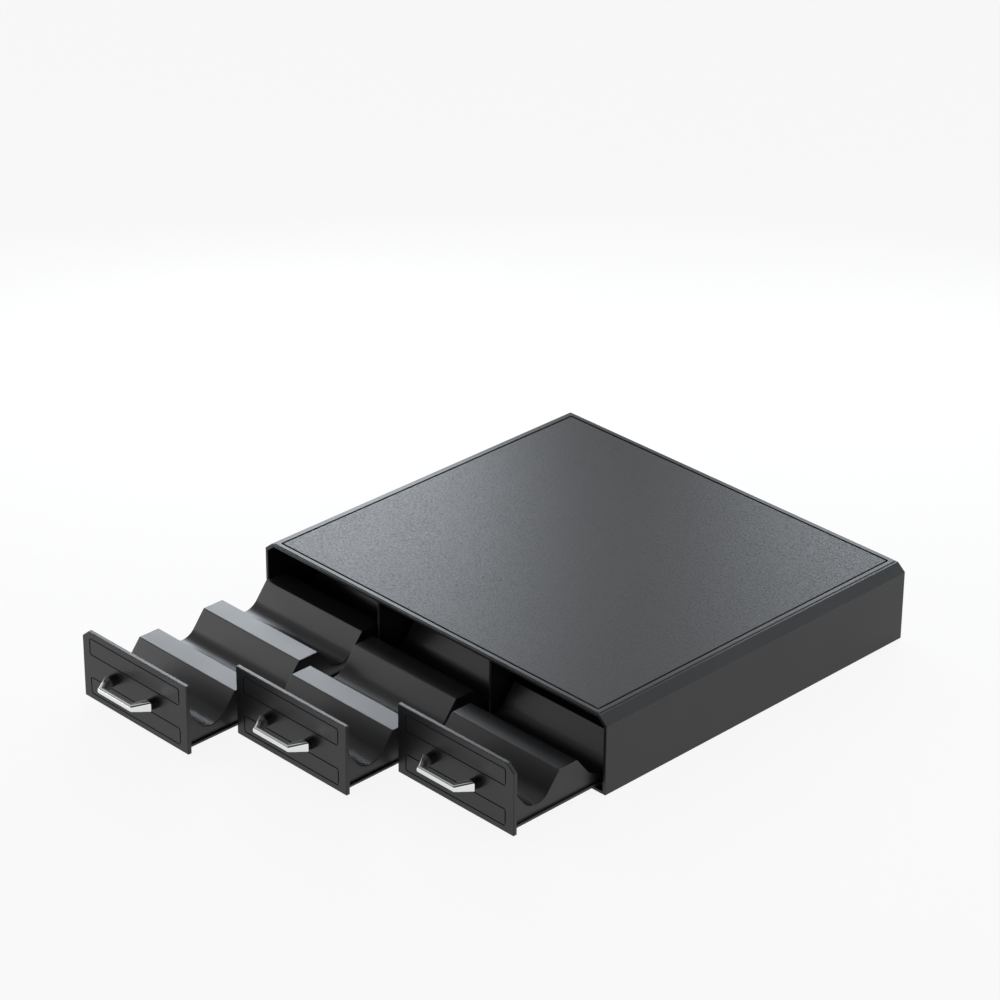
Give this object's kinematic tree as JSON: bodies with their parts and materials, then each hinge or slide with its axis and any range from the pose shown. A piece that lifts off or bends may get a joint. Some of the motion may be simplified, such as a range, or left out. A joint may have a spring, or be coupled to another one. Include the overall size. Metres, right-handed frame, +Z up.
{
  "type": "coffee pod drawer cabinet",
  "caption": "Low black cabinet for the space under a coffee machine, with side-by-side drawers whose corrugated trays hold coffee pods on edge, shown pulled out in steps.",
  "frame": {"origin": "centre of the closed cabinet's footprint, on the counter under its feet", "axes": "+X to the right as seen from the front, +Y from the drawer fronts to the back, +Z up"},
  "size_m": [0.348, 0.5021, 0.062],
  "materials": {
    "housing_plastic": "satin black moulded",
    "drawer_plastic": "satin black moulded",
    "grained_mat": "fine-grained black",
    "chrome": "polished",
    "rubber": "matt",
    "steel": "zinc plated"
  },
  "bodies": {
    "housing": {"housing_shell": "housing_plastic", "top_mat": "grained_mat", "base_panel": "housing_plastic", "divider_left": "housing_plastic", "divider_right": "housing_plastic", "foot_front_left": "rubber", "foot_front_right": "rubber", "foot_centre": "rubber", "foot_rear_left": "rubber", "foot_rear_right": "rubber", "base_screws": "steel"},
    "left_drawer": {"left_front": "drawer_plastic", "left_tray": "drawer_plastic", "left_tray_side_left": "drawer_plastic", "left_tray_side_right": "drawer_plastic", "left_handle": "chrome", "left_handle_screws": "steel"},
    "middle_drawer": {"middle_front": "drawer_plastic", "middle_tray": "drawer_plastic", "middle_tray_side_left": "drawer_plastic", "middle_tray_side_right": "drawer_plastic", "middle_handle": "chrome", "middle_handle_screws": "steel"},
    "right_drawer": {"right_front": "drawer_plastic", "right_tray": "drawer_plastic", "right_tray_side_left": "drawer_plastic", "right_tray_side_right": "drawer_plastic", "right_handle": "chrome", "right_handle_screws": "steel"}
  },
  "joints": [
    {"name": "left_slide", "type": "slide", "parent": "housing", "child": "left_drawer", "axis": [0, -1, 0], "range_m": [-0.1741, 0.0714]},
    {"name": "middle_slide", "type": "slide", "parent": "housing", "child": "middle_drawer", "axis": [0, -1, 0], "range_m": [-0.1306, 0.1149]},
    {"name": "right_slide", "type": "slide", "parent": "housing", "child": "right_drawer", "axis": [0, -1, 0], "range_m": [-0.0843, 0.1612]}
  ]
}
